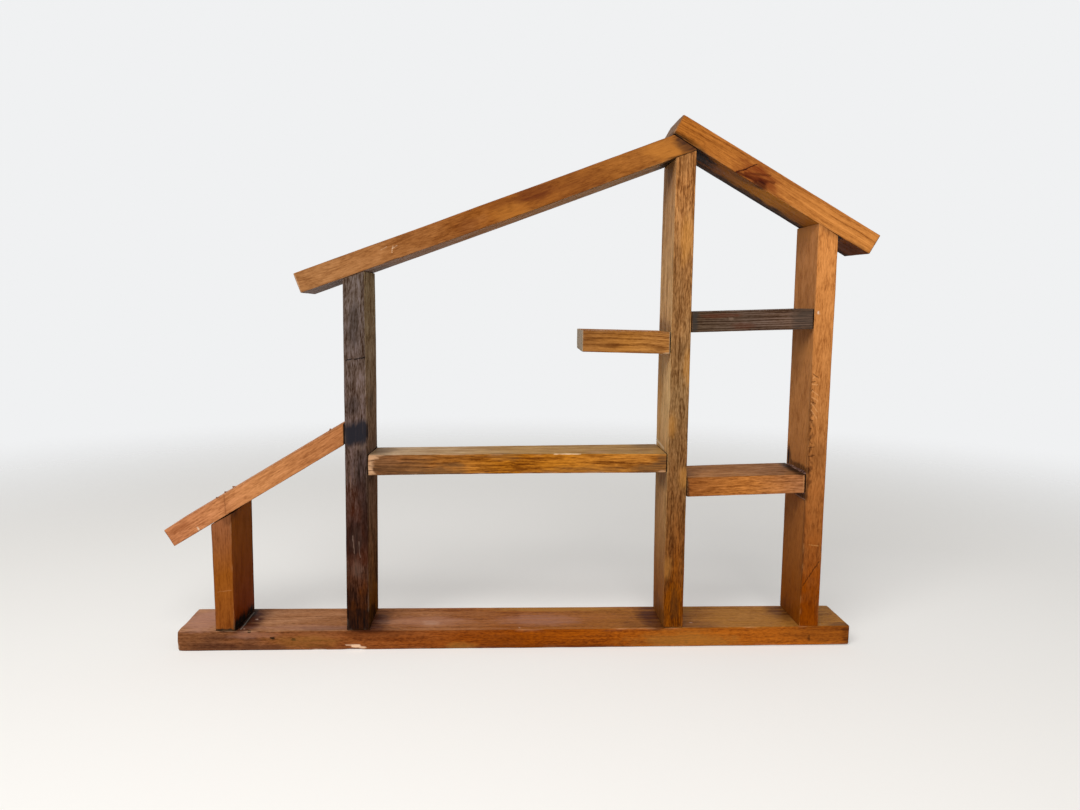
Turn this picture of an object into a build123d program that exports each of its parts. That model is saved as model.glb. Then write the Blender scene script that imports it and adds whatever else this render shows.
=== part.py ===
from build123d import *
from math import cos, radians, sin
import os

# An open wooden dollhouse: a frame of boards nailed and glued edge to edge, open at the front and back.
# Millimetres. +Z is up, the front faces -Y, and the origin is the middle of the base board's underside.

# Boards
board_depth = 53.0
base_thickness = 18.0
post_thickness = 17.5
left_post_thickness = 19.0
roof_thickness = 18.0
lean_to_roof_thickness = 16.5
main_floor_thickness = 17.0
stub_shelf_thickness = 19.0
upper_shelf_thickness = 18.0
lower_shelf_thickness = 17.0
edge_round = 1.0

# Widths along the base, from its left end to its right end
base_left_margin = 32.7
lean_to_room_width = 98.4
main_room_width = 261.9
right_room_width = 107.3
base_right_margin = 29.6
stub_shelf_length = 75.8

# Heights above the base board's top
lean_to_roof_height = 166.1
left_roof_height = 307.4
main_floor_height = 149.4
stub_shelf_height = 255.9
upper_shelf_height = 276.0
lower_shelf_height = 130.3

# Angles, in degrees from level, rising to the right
lean_to_roof_angle = 31.2
left_roof_angle = 20.4
right_roof_angle = -29.3
main_floor_tilt = 0.5
stub_shelf_tilt = -0.9
upper_shelf_tilt = 2.1
lower_shelf_tilt = 1.9

# Roof ends, measured along each underside
lean_to_overhang = 37.0
left_roof_overhang = 36.5
right_roof_overhang = 32.6
ridge_overhang = 24.2
ridge_nose = 0.5

# Dark adhesive
glue_line = 1.1
glue_inset = 0.6
bead_leg = 4.0
bead_hollow_ratio = 0.3

# Wire brads with T heads
nail_length = 32.0
nail_shank_width = 1.7
nail_head_width = 2.9
nail_head_thickness = 1.0
nail_wire = 1.5
nail_point_length = 3.0
nail_sink = 0.3
nail_stand_off = 0.8
nail_clearance = 0.05
nail_row_spacing = 27.0
lean_to_nail_spacing = 22.0
lean_to_nail_edge = 5.4
toe_nail_setback = 17.4
toe_nail_angle = 20.0

# Places along X: the faces of the posts
base_length = (
    base_left_margin
    + post_thickness
    + lean_to_room_width
    + left_post_thickness
    + main_room_width
    + post_thickness
    + right_room_width
    + post_thickness
    + base_right_margin
)
base_left = -base_length / 2
lean_to_post_left = base_left + base_left_margin
left_post_left = lean_to_post_left + post_thickness + lean_to_room_width
left_post_right = left_post_left + left_post_thickness
centre_post_left = left_post_right + main_room_width
centre_post_right = centre_post_left + post_thickness
right_post_left = centre_post_right + right_room_width
right_post_right = right_post_left + post_thickness
right_room_middle = (centre_post_right + right_post_left) / 2


def sloping_plane(x, height, slope):
    """A plane across the house through x at a height above the base's top, rising to the right by slope."""
    angle = radians(slope)
    return Plane(
        origin=(x, 0, base_thickness + height),
        x_dir=(cos(angle), 0, sin(angle)),
        z_dir=(-sin(angle), 0, cos(angle)),
    )


def height_on(plane, x):
    """The Z of a sloping plane at x."""
    return plane.origin.Z + (x - plane.origin.X) * plane.x_dir.Z / plane.x_dir.X


def along(plane, x):
    """How far up a sloping plane, from its origin, the place at x lies."""
    return (x - plane.origin.X) / plane.x_dir.X


def board(start, direction, length, thickness, inset=0.0):
    """A board with rounded long edges, its section centred on a line from start."""
    section_plane = Plane(origin=start, x_dir=(0, 1, 0), z_dir=direction)
    section = RectangleRounded(board_depth - 2 * inset, thickness - 2 * inset, edge_round)
    return extrude(section_plane * section, amount=length)


def keep_above(piece, plane):
    """The part of a piece on the side that a plane's normal points to."""
    return split(piece, bisect_by=plane, keep=Keep.TOP)


def keep_below(piece, plane):
    """The part of a piece on the side away from a plane's normal."""
    return split(piece, bisect_by=plane, keep=Keep.BOTTOM)


def upright_plane(x):
    """The upright plane at x, facing right."""
    return Plane(origin=(x, 0, 0), x_dir=(0, 1, 0), z_dir=(1, 0, 0))


def post(left, thickness, roof_underside):
    """A post on the base board, its top cut to the slope of the roof that it carries."""
    higher_side = max(height_on(roof_underside, left), height_on(roof_underside, left + thickness))
    blank = board((left + thickness / 2, 0, base_thickness), (0, 0, 1), higher_side, thickness)
    return keep_below(blank, roof_underside)


def roof(underside, start, end, thickness):
    """A roof board lying on its underside plane, square at both ends."""
    start_middle = underside.from_local_coords(Vector(start, 0, thickness / 2))
    return board(start_middle, underside.x_dir, end - start, thickness)


def shelf(middle, thickness, left, right, inset=0.0):
    """A shelf along its middle plane, plumb cut at left and right."""
    start = along(middle, left) - thickness
    end = along(middle, right) + thickness
    blank = board(middle.from_local_coords(Vector(start, 0, 0)), middle.x_dir, end - start, thickness, inset)
    return keep_below(keep_above(blank, upright_plane(left)), upright_plane(right))


def bead(corner, first_leg, second_leg):
    """A hollow-faced bead of adhesive in an inside corner, along the flat part of the boards' depth."""
    first_end = corner + first_leg.normalized() * bead_leg
    second_end = corner + second_leg.normalized() * bead_leg
    hollow = corner + (first_end - corner + second_end - corner) * bead_hollow_ratio
    outline = [Line(corner, first_end), ThreePointArc(first_end, hollow, second_end), Line(second_end, corner)]
    face = make_face(outline)
    flat_depth = board_depth - 2 * edge_round
    return extrude(face, amount=flat_depth / 2, both=True)


def nail_shape(seat, head_top, clearance):
    """A brad with its head on the seat plane and its point away from the plane's normal, grown by a clearance."""
    head = nail_head_width / 2 + clearance
    shank = nail_shank_width / 2 + clearance
    shank_length = nail_length - nail_head_thickness + clearance
    outline = Polyline(
        (-head, head_top),
        (head, head_top),
        (head, 0),
        (shank, 0),
        (shank, nail_point_length - shank_length),
        (0, -shank_length),
        (-shank, nail_point_length - shank_length),
        (-shank, 0),
        (-head, 0),
        close=True,
    )
    profile = seat * Plane.XZ * make_face(outline)
    return extrude(profile, amount=nail_wire / 2 + clearance, both=True)


def nail(seat):
    """A nail with its head's underside on the seat plane."""
    return nail_shape(seat, nail_head_thickness, 0.0)


def nail_hole(seat):
    """The space for a nail in the boards, open above its head."""
    return nail_shape(seat, nail_length, nail_clearance)


def seat_below(point, outward, depth):
    """The seat of a nail's head, a depth inside the surface at point, its long side across the house."""
    outward = Vector(outward).normalized()
    return Plane(origin=Vector(point) - outward * depth, x_dir=Vector(0, 1, 0).cross(outward), z_dir=outward)


# The two nails of a joint stand in a row across the depth
nail_rows = [-nail_row_spacing / 2, nail_row_spacing / 2]
sunk_depth = nail_head_thickness + nail_sink
proud_depth = nail_head_thickness - nail_stand_off

# Roof undersides and shelf middles
lean_to_underside = sloping_plane(left_post_left, lean_to_roof_height, lean_to_roof_angle)
left_roof_underside = sloping_plane(left_post_left, left_roof_height, left_roof_angle)
main_floor_middle = sloping_plane((left_post_right + centre_post_left) / 2, main_floor_height, main_floor_tilt)
stub_shelf_middle = sloping_plane(centre_post_left, stub_shelf_height, stub_shelf_tilt)
upper_shelf_middle = sloping_plane(right_room_middle, upper_shelf_height, upper_shelf_tilt)
lower_shelf_middle = sloping_plane(right_room_middle, lower_shelf_height, lower_shelf_tilt)

# The left roof goes under the right one, and ends in a blunt nose flush with the centre post
nose_top = height_on(left_roof_underside, centre_post_right) + ridge_nose
bevel = sloping_plane(centre_post_right, nose_top - base_thickness, right_roof_angle)
right_roof_underside = bevel.offset(glue_line)

pieces = {}

# Base and posts
pieces["base_board"] = board((base_left, 0, base_thickness / 2), (1, 0, 0), base_length, base_thickness)
pieces["lean_to_post"] = post(lean_to_post_left, post_thickness, lean_to_underside)
pieces["left_post"] = post(left_post_left, left_post_thickness, left_roof_underside)
pieces["centre_post"] = post(centre_post_left, post_thickness, left_roof_underside)
pieces["right_post"] = post(right_post_left, post_thickness, right_roof_underside)

# Lean-to roof: square at its lower end, plumb cut beside the left post
lean_to_start = along(lean_to_underside, lean_to_post_left) - lean_to_overhang
lean_to_end = along(lean_to_underside, left_post_right)
lean_to_blank = roof(lean_to_underside, lean_to_start, lean_to_end, lean_to_roof_thickness)
lean_to_plumb = upright_plane(left_post_left - glue_line)
pieces["lean_to_roof"] = keep_below(lean_to_blank, lean_to_plumb)

# Left roof: square at its lower end, bevelled under the right roof
left_roof_end = along(left_roof_underside, centre_post_right) + roof_thickness
left_roof_blank = roof(left_roof_underside, -left_roof_overhang, left_roof_end, roof_thickness)
left_roof_nosed = keep_below(left_roof_blank, upright_plane(centre_post_right))
pieces["left_roof"] = keep_below(left_roof_nosed, bevel)

# Right roof: square at both ends, past the ridge and past the right post
ridge_start = along(right_roof_underside, centre_post_right) - ridge_overhang
right_roof_end = along(right_roof_underside, right_post_right) + right_roof_overhang
pieces["right_roof"] = roof(right_roof_underside, ridge_start, right_roof_end, roof_thickness)

# Shelves, each a glue line short of the posts
main_floor_ends = (left_post_right + glue_line, centre_post_left - glue_line)
stub_shelf_ends = (centre_post_left - glue_line - stub_shelf_length, centre_post_left - glue_line)
right_shelf_ends = (centre_post_right + glue_line, right_post_left - glue_line)
pieces["main_floor"] = shelf(main_floor_middle, main_floor_thickness, *main_floor_ends)
pieces["stub_shelf"] = shelf(stub_shelf_middle, stub_shelf_thickness, *stub_shelf_ends)
pieces["upper_right_shelf"] = shelf(upper_shelf_middle, upper_shelf_thickness, *right_shelf_ends)
pieces["lower_right_shelf"] = shelf(lower_shelf_middle, lower_shelf_thickness, *right_shelf_ends)


def end_glue(middle, thickness, gaps):
    """The films of adhesive in the gaps between a shelf's ends and the posts."""
    return Compound([shelf(middle, thickness, left, right, glue_inset).solid() for left, right in gaps])


main_floor_gaps = [(left_post_right, main_floor_ends[0]), (main_floor_ends[1], centre_post_left)]
stub_shelf_gaps = [(stub_shelf_ends[1], centre_post_left)]
right_shelf_gaps = [(centre_post_right, right_shelf_ends[0]), (right_shelf_ends[1], right_post_left)]
pieces["main_floor_glue"] = end_glue(main_floor_middle, main_floor_thickness, main_floor_gaps)
pieces["stub_shelf_glue"] = end_glue(stub_shelf_middle, stub_shelf_thickness, stub_shelf_gaps)
pieces["upper_shelf_glue"] = end_glue(upper_shelf_middle, upper_shelf_thickness, right_shelf_gaps)
pieces["lower_shelf_glue"] = end_glue(lower_shelf_middle, lower_shelf_thickness, right_shelf_gaps)

# The film at the lean-to roof's plumb cut, and the one on the left roof's bevel
lean_to_middle = lean_to_underside.offset(lean_to_roof_thickness / 2)
pieces["lean_to_roof_glue"] = shelf(
    lean_to_middle, lean_to_roof_thickness, left_post_left - glue_line, left_post_left, glue_inset
)
bevel_low_end = along(bevel, centre_post_right)
left_roof_top = left_roof_underside.offset(roof_thickness)
crossing_drop = height_on(bevel, centre_post_right) - height_on(left_roof_top, centre_post_right)
crossing_slopes = left_roof_top.x_dir.Z / left_roof_top.x_dir.X - bevel.x_dir.Z / bevel.x_dir.X
bevel_high_end = along(bevel, centre_post_right + crossing_drop / crossing_slopes)
film_start = max(bevel_high_end, bevel_low_end - ridge_overhang)
film_length = bevel_low_end - film_start - glue_inset
film_middle = bevel.from_local_coords(Vector(film_start + film_length / 2, 0, glue_line / 2))
film_plane = Plane(origin=film_middle, x_dir=bevel.x_dir, z_dir=bevel.z_dir)
film_depth = board_depth - 2 * edge_round
pieces["ridge_glue"] = film_plane * Box(film_length, film_depth, glue_line)

# Beads of squeezed-out adhesive: at the lean-to post's foot, and over and under the lower shelf's right end
lean_to_foot = Vector(lean_to_post_left + post_thickness, 0, base_thickness)
pieces["lean_to_foot_bead"] = bead(lean_to_foot, Vector(1, 0, 0), Vector(0, 0, 1))
lower_shelf_top = lower_shelf_middle.offset(lower_shelf_thickness / 2)
lower_shelf_bottom = lower_shelf_middle.offset(-lower_shelf_thickness / 2)
over_corner = Vector(right_post_left, 0, height_on(lower_shelf_top, right_post_left))
under_corner = Vector(right_post_left, 0, height_on(lower_shelf_bottom, right_post_left))
shelf_inward = lower_shelf_middle.x_dir * -1
over_bead = bead(over_corner, shelf_inward, Vector(0, 0, 1))
under_bead = bead(under_corner, shelf_inward, Vector(0, 0, -1))
pieces["lower_shelf_beads"] = Compound([over_bead.solid(), under_bead.solid()])


def drive(name, seats, through):
    """Drives a group of nails, and drills the boards and films that they pass through."""
    for piece_name in through:
        for seat in seats:
            pieces[piece_name] = pieces[piece_name] - nail_hole(seat)
    pieces[name] = Compound([nail(seat).solid() for seat in seats])


def roof_seats(underside, target):
    """Sunk seats square to a roof's top, whose nails pass below the underside on both sides of x = target."""
    drift = (nail_length - roof_thickness) / 2 * underside.z_dir.X
    place = along(underside, target + drift)
    points = [underside.from_local_coords(Vector(place, row, roof_thickness)) for row in nail_rows]
    return [seat_below(point, underside.z_dir, sunk_depth) for point in points]


def side_seats(face_x, middle, outward):
    """Sunk seats on a post's side face, in line with the middle of the shelf behind it."""
    points = [(face_x, row, height_on(middle, face_x)) for row in nail_rows]
    return [seat_below(point, (outward, 0, 0), sunk_depth) for point in points]


# Nails up through the base board into the posts
post_names = ["lean_to_post", "left_post", "centre_post", "right_post"]
post_middles = [
    lean_to_post_left + post_thickness / 2,
    left_post_left + left_post_thickness / 2,
    centre_post_left + post_thickness / 2,
    right_post_left + post_thickness / 2,
]
base_points = [(x, row, 0) for x in post_middles for row in nail_rows]
drive(
    "base_nails",
    [seat_below(point, (0, 0, -1), sunk_depth) for point in base_points],
    ["base_board", *post_names],
)

# Nails down through the roof boards
drive("left_roof_nails", roof_seats(left_roof_underside, post_middles[1]), ["left_roof", "left_post"])
drive("right_roof_nails", roof_seats(right_roof_underside, post_middles[3]), ["right_roof", "right_post"])
drive(
    "ridge_nails",
    roof_seats(right_roof_underside, post_middles[2]),
    ["right_roof", "ridge_glue", "left_roof", "centre_post"],
)

# The lean-to roof's nails stand proud: a plumb row into its post, and one slanting into the left post
lean_to_top = lean_to_underside.offset(lean_to_roof_thickness)
row_x = lean_to_post_left + lean_to_nail_edge
row_depths = [-lean_to_nail_spacing, 0, lean_to_nail_spacing]
row_points = [(row_x, depth, height_on(lean_to_top, row_x)) for depth in row_depths]
toe_x = left_post_left - toe_nail_setback
toe_point = (toe_x, 0, height_on(lean_to_top, toe_x))
toe_outward = (-cos(radians(toe_nail_angle)), 0, sin(radians(toe_nail_angle)))
lean_to_seats = [seat_below(point, (0, 0, 1), proud_depth) for point in row_points]
lean_to_seats.append(seat_below(toe_point, toe_outward, proud_depth))
drive(
    "lean_to_roof_nails",
    lean_to_seats,
    ["lean_to_roof", "lean_to_post", "lean_to_roof_glue", "left_post"],
)

# Nails through the posts into the shelf ends
drive(
    "main_floor_nails",
    side_seats(left_post_left, main_floor_middle, -1) + side_seats(centre_post_right, main_floor_middle, 1),
    ["left_post", "centre_post", "main_floor_glue", "main_floor"],
)
drive(
    "stub_shelf_nails",
    side_seats(centre_post_right, stub_shelf_middle, 1),
    ["centre_post", "stub_shelf_glue", "stub_shelf"],
)
drive(
    "upper_shelf_nails",
    side_seats(right_post_right, upper_shelf_middle, 1),
    ["right_post", "upper_shelf_glue", "upper_right_shelf"],
)
drive(
    "lower_shelf_nails",
    side_seats(right_post_right, lower_shelf_middle, 1),
    ["right_post", "lower_shelf_glue", "lower_right_shelf"],
)

os.makedirs("parts", exist_ok=True)
for name, piece in pieces.items():
    export_step(piece, f"parts/{name}.step")
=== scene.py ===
"""Looks of the wooden dollhouse: worn varnished boards, black adhesive, darkened nails, light and camera.

Lengths are millimetres, and only the mesh writer, material scales, lamps and camera turn them into metres.
Every board is rebuilt over its CAD node in the board's own axes: along its length from the left or lower
end, across from its front face to its back, and up from its under side. A post's under side faces right.
"""

from collections import namedtuple

import bpy
import numpy as np
from mathutils import Matrix, Vector


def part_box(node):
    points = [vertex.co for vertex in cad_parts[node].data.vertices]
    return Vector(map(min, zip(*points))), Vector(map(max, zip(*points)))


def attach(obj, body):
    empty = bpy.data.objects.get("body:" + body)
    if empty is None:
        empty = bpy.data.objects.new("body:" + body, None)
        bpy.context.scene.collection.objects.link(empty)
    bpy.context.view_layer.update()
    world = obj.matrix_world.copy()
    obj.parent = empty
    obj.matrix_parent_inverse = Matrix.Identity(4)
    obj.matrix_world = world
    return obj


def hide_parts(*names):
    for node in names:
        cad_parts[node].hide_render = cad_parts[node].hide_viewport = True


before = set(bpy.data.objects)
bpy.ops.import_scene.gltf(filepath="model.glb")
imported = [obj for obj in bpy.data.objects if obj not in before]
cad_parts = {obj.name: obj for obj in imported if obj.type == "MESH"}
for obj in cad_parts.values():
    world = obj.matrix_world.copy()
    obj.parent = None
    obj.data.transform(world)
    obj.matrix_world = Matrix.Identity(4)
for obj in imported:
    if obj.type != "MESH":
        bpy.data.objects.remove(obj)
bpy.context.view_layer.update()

MM = 0.001
ACROSS = np.array([0.0, 1.0, 0.0])

# Inputs and output of Blender's colour mixing node, which are told apart by number
MIX_FACTOR, MIX_A, MIX_B, MIX_RESULT = 0, 6, 7, 2

# How far a drawn crack or scratch strays to and fro
STRAY = 1.6

# A mark on a board: its place and its reach along, across and up, how strong it is, and how soft and how
# ragged its rim is
Mark = namedtuple("Mark", "place reach strength soft ragged", defaults=[0.7, 1.0])

# A colour that something left on a board, or that stands for painted shade, sheen or light there, and the
# marks where it shows
Tint = namedtuple("Tint", "name shade marks")

# A crack or scratch: where it starts and ends, its width, its colour and how strong it is
Line = namedtuple("Line", "start end width shade strength")

# How far a warped board's long edges stand up from straight ones, at the first end, the middle and the last
Warp = namedtuple("Warp", "front_under front_upper back_under back_upper", defaults=[(0, 0, 0)] * 4)

# A board's axes, where its front and its under side lie, its size, and where the saw cuts of its first and
# of its last end meet the under and the upper side
Board = namedtuple("Board", "along up near low length depth thickness first last")


# Patterns on whole arrays of points

def wander(points, size, seed):
    """Smooth random values from 0 to 1 at points in mm, with hills about `size` apart.

    Each corner of a lattice with cells of that size gets a scrambled number, and a point takes the mean of
    the eight corners around it, weighted by a smooth step of its place in the cell.
    """
    corner_factors = np.array([73856093, 19349663, 83492791])
    seed_factor, scrambler, largest = 40503, 1274126177, 0xFFFF
    cell = points / size
    corner = np.floor(cell).astype(np.int64)
    share = cell - corner
    share = share * share * (3 - 2 * share)
    total = np.zeros(points.shape[:-1])
    for step in np.ndindex(2, 2, 2):
        mixed = ((corner + step) * corner_factors).sum(-1) + seed * seed_factor
        mixed = (mixed ^ (mixed >> 13)) * scrambler
        number = ((mixed ^ (mixed >> 16)) & largest) / largest
        total += number * np.prod(np.where(step, share, 1 - share), axis=-1)
    return total


def marked(spots, marks, seed):
    """How strongly a list of marks shows at each spot: the strongest, each a plateau with a ragged rim.

    The rim lies on an ellipsoid of the mark's reach, pushed in and out by broad and fine wander, and the
    strength falls off across it over a share of the reach, which is the mark's softness.
    """
    broad, broad_share = (9, 4, 4), 0.5
    fine, fine_share = (3, 1.6, 1.6), 0.4
    ragged = (broad_share * (wander(spots, broad, seed) - 0.5)
              + fine_share * (wander(spots, fine, seed + 1) - 0.5))
    total = np.zeros(spots.shape[:-1])
    for mark in marks:
        away = np.linalg.norm((spots - mark.place) / mark.reach, axis=-1)
        share = np.clip((1 - away + mark.ragged * ragged) / mark.soft + 0.5, 0, 1)
        total = np.maximum(total, mark.strength * share * share * (3 - 2 * share))
    return total


# Meshes

def closed_mesh(name, rows, fields):
    """Object of a closed surface given as rows of points in mm, from one end's point to the other end's.

    Row s holds points t that run round the piece, anticlockwise seen from the far end, so the quad between
    (s, t) and (s + 1, t + 1) looks outwards. The first and the last row are one point each. Fields hold a
    value for every point.
    """
    around = rows.shape[1]

    def joined(values):
        """The values of all rows in one list, with each end's point once."""
        inner = values[1:-1].reshape(-1, *values.shape[2:])
        return np.concatenate([values[0, :1], inner, values[-1, :1]])

    points = joined(rows)
    ring = 1 + np.arange(len(points) - 2).reshape(-1, around)
    beside = np.roll(ring, -1, axis=1)
    quads = np.stack([ring[:-1], beside[:-1], beside[1:], ring[1:]], -1)
    first_cap = np.stack([np.zeros(around, int), beside[0], ring[0]], -1)
    last_cap = np.stack([ring[-1], beside[-1], np.full(around, len(points) - 1)], -1)
    corners = np.concatenate([first_cap.ravel(), quads.ravel(), last_cap.ravel()])
    sizes = np.repeat([3, 4, 3], [around, quads.size // 4, around])

    mesh = bpy.data.meshes.new(name)
    mesh.vertices.add(len(points))
    mesh.vertices.foreach_set("co", (points * MM).astype(np.float32).ravel())
    mesh.loops.add(len(corners))
    mesh.loops.foreach_set("vertex_index", corners.astype(np.int32))
    mesh.polygons.add(len(sizes))
    mesh.polygons.foreach_set("loop_start", (np.cumsum(sizes) - sizes).astype(np.int32))
    mesh.update(calc_edges=True)
    mesh.shade_smooth()
    for field, values in fields.items():
        flat = joined(values).astype(np.float32)
        kind, member = ("FLOAT_VECTOR", "vector") if flat.ndim == 2 else ("FLOAT", "value")
        mesh.attributes.new(field, kind, "POINT").data.foreach_set(member, flat.ravel())
    piece = bpy.data.objects.new(name, mesh)
    bpy.context.scene.collection.objects.link(piece)
    return piece


def dress(piece, node, material):
    """Lets a finished piece stand for its CAD node and gives it its material."""
    piece.data.materials.append(material)
    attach(piece, "root")
    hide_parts(node)


# Boards

def measure(node):
    """A board's axes and extent, read from its CAD mesh.

    Up is square to the direction across and looks along the broad faces' normal, the one that the most face
    area shares. Along is square to both, and points right, or upwards for a post. An end is a straight saw
    cut, so its places at the under side and at the upper side give it whole.
    """
    square_limit, on_side = 0.01, 0.1
    right_or_up = np.array([1.0, 0.0, 0.5])
    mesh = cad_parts[node].data
    corners = np.array([vertex.co for vertex in mesh.vertices], np.float32)
    normals = np.array([face.normal for face in mesh.polygons], np.float32)
    areas = np.array([face.area for face in mesh.polygons], np.float32)
    square = np.abs(normals[:, 1]) < square_limit
    heading = np.round(np.degrees(np.arctan2(normals[:, 2], normals[:, 0]))).astype(int) % 180
    broad = np.argmax(np.bincount(heading, weights=areas * square, minlength=180))
    up = normals[np.argmax(areas * square * (heading == broad))].astype(float)
    along = np.cross(ACROSS, up)
    along *= np.sign(along @ right_or_up) / np.linalg.norm(along)
    up = np.cross(along, ACROSS)

    place = corners / MM @ np.stack([along, ACROSS, up]).T
    lowest, highest = place.min(0), place.max(0)
    under = place[place[:, 2] < lowest[2] + on_side, 0]
    over = place[place[:, 2] > highest[2] - on_side, 0]
    first = np.array([under.min(), over.min()])
    last = np.array([under.max(), over.max()])
    return Board(along, up, lowest[1], lowest[2], (last - first).mean(), highest[1] - lowest[1],
                 highest[2] - lowest[2], first, last)


def stations(length):
    """Places along a side: close together by its rounded corners, and further apart between them."""
    corner_zone, fine, coarse = 2.4, 0.4, 1.3
    near = np.arange(0, corner_zone, fine)
    middle = np.linspace(corner_zone, length - corner_zone, round(length / coarse))
    return np.concatenate([near, middle, length - near[::-1]])


def board_grid(board):
    """Points of a sharp bar as rows: from the middle of one end, out over it, along, and in over the other.

    Each row is the bar's rectangular section, shrunk towards its middle on the two ends.
    """
    half = np.array([board.depth, board.thickness]) / 2
    wide, tall = stations(board.depth), stations(board.thickness)
    section = np.concatenate([
        np.stack([wide, np.zeros_like(wide)], -1)[:-1],
        np.stack([np.full_like(tall, board.depth), tall], -1)[:-1],
        np.stack([wide[::-1], np.full_like(wide, board.thickness)], -1)[:-1],
        np.stack([np.zeros_like(tall), tall[::-1]], -1)[:-1],
    ]) - half
    middle = 8.5
    inset = np.array([middle, 6.5, 5.0, 3.7, 2.7, 1.9, 1.3, 0.85, 0.55, 0.3, 0.12]) / middle
    run = stations(board.length)
    share = np.concatenate([1 - inset, np.ones_like(run), 1 - inset[::-1]])
    reach = np.concatenate([np.zeros_like(inset), run, np.full_like(inset, board.length)])
    rows = np.empty((len(share), len(section), 3))
    rows[..., 0] = reach[:, None]
    rows[..., 1:] = share[:, None, None] * section + half
    return rows


def lifted(spots, size, warp):
    """How far the points of a warped board stand up from those of a straight one.

    Each long edge follows the parabola through its three departures, and a point takes the mean of the four
    edges, weighted by its nearness to them across and up.
    """
    along, across, up = np.moveaxis(spots / size, -1, 0)
    share = np.stack([(1 - along) * (1 - 2 * along), 4 * along * (1 - along), along * (2 * along - 1)], -1)
    front_under, front_upper, back_under, back_upper = np.moveaxis(share @ np.array(warp).T, -1, 0)
    under = front_under + (back_under - front_under) * across
    upper = front_upper + (back_upper - front_upper) * across
    return under + (upper - under) * up


def worn_board(node, slot, finish, seed, tones, tints, side=None, side_tones=(), lines=(), chips=(),
               round_end=0.7, fit=(0, 0), warp=Warp(), **figure):
    """A board with softened, chipped edges and slightly hollow faces, in the place of its CAD node.

    A sharp bar's point is pulled back to the nearest point of the bar shrunk by the edge radius, and
    pushed out again by that radius, which rounds all edges. It wanders along them and grows at a chip.
    Then the surface sinks by a wandering fraction of a millimetre, always inwards, the warp lifts the long
    edges, and the ends lean with the saw cuts. Side names a face with another finish, which on some tops is
    partly a painted sheen. Fit is how far each end falls short of its cut, or, below zero, presses past it. A
    pair gives this at its under and its upper side.
    """
    round_edge, end_zone = 0.6, 3.0
    least_round, round_range = 0.6, 0.8
    sharpest, bluntest = 0.2, 0.45
    broad_hollow, fine_hollow = 0.2, 0.1
    rubbed_width, sawn_depth, sawn_margin, side_rim = 0.8, 0.7, 1.2, 0.4

    board = measure(node)
    size = np.array([board.length, board.depth, board.thickness])
    sharp = board_grid(board)
    edge_gap = np.sort(np.minimum(sharp, size - sharp), axis=-1)[..., 1]
    end_gap = np.minimum(sharp[..., 0], board.length - sharp[..., 0])

    radius = round_edge + (round_end - round_edge) * np.exp(-end_gap / end_zone)
    radius = radius * (least_round + round_range * wander(sharp, (16, 9, 9), seed))
    radius = radius + marked(sharp, chips, seed + 3)
    radius = np.clip(radius, sharpest, board.thickness * bluntest)[..., None]
    inner = np.clip(sharp, radius, size - radius)
    away = sharp - inner
    outward = away / np.linalg.norm(away, axis=-1, keepdims=True)
    hollow = (broad_hollow * wander(sharp, (60, 24, 24), seed + 5)
              + fine_hollow * wander(sharp, (11, 5, 5), seed + 6))
    spots = inner + outward * (radius - hollow[..., None])

    first = board.first + fit[0]
    last = board.last - fit[1]
    level = spots[..., 2] + lifted(spots, size, warp)
    height = level / board.thickness
    start = first[0] + (first[1] - first[0]) * height
    stop = last[0] + (last[1] - last[0]) * height
    run = start + spots[..., 0] / board.length * (stop - start)
    rows = (run[..., None] * board.along + (spots[..., 1:2] + board.near) * ACROSS
            + (level[..., None] + board.low) * board.up)
    fields = {
        "grain": spots,
        "worn": np.exp(-edge_gap / rubbed_width),
        "end_grain": np.clip(sawn_margin - end_gap / sawn_depth, 0, 1),
    }
    if side:
        side_gap = sharp[..., 2] if side == "under" else board.thickness - sharp[..., 2]
        fields["side"] = np.clip(1 - side_gap / side_rim, 0, 1)
    for number, tint in enumerate(tints):
        fields[tint.name] = marked(sharp, tint.marks, seed + 7 + 2 * number)
    piece = closed_mesh("worn_" + node, rows, fields)
    material = wood(finish + "_" + node, seed, board.length, tones, side_tones, tints, lines, **figure)
    dress(piece, node, material)


def in_a_row(first, last, count):
    """Evenly spaced points along a board's length."""
    place = np.linspace(first, last, count)
    return np.stack([place, np.zeros(count), np.zeros(count)], -1)


def nicks(first, last, count, level, shade, strength, seed):
    """Short slanting nicks in a board's front, side by side from an edge inwards, as a list of lines.

    Their slant and their length in from the edge wander along the row.
    """
    width, slant_range, shortest, length_range = 0.7, 12, 1.5, 5
    row = in_a_row(first, last, count)
    slant = slant_range * (wander(row, (5, 1, 1), seed) - 0.5)
    reach = shortest + length_range * wander(row, (7, 1, 1), seed + 1)
    return [Line((start, 0, level), (start + shift, 0, level - inwards), width, shade, strength)
            for start, shift, inwards in zip(row[:, 0].tolist(), slant.tolist(), reach.tolist())]


def specks(first, last, count, level, depth, strength, seed):
    """Small dents in a board's front along an edge, as a list of marks.

    Their distance from the edge, the square of a wander, and their size differ along the row.
    """
    smallest, size_range, flatness, into_front = 0.7, 1.3, 0.7, 2
    row = in_a_row(first, last, count)
    inwards = depth * wander(row, (2.3, 1, 1), seed) ** 2
    size = smallest + size_range * wander(row, (1.7, 1, 1), seed + 1)
    return [Mark((start, 0, level - in_from_edge), (reach, into_front, flatness * reach), strength)
            for start, in_from_edge, reach in zip(row[:, 0].tolist(), inwards.tolist(), size.tolist())]


# Adhesive beads

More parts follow.
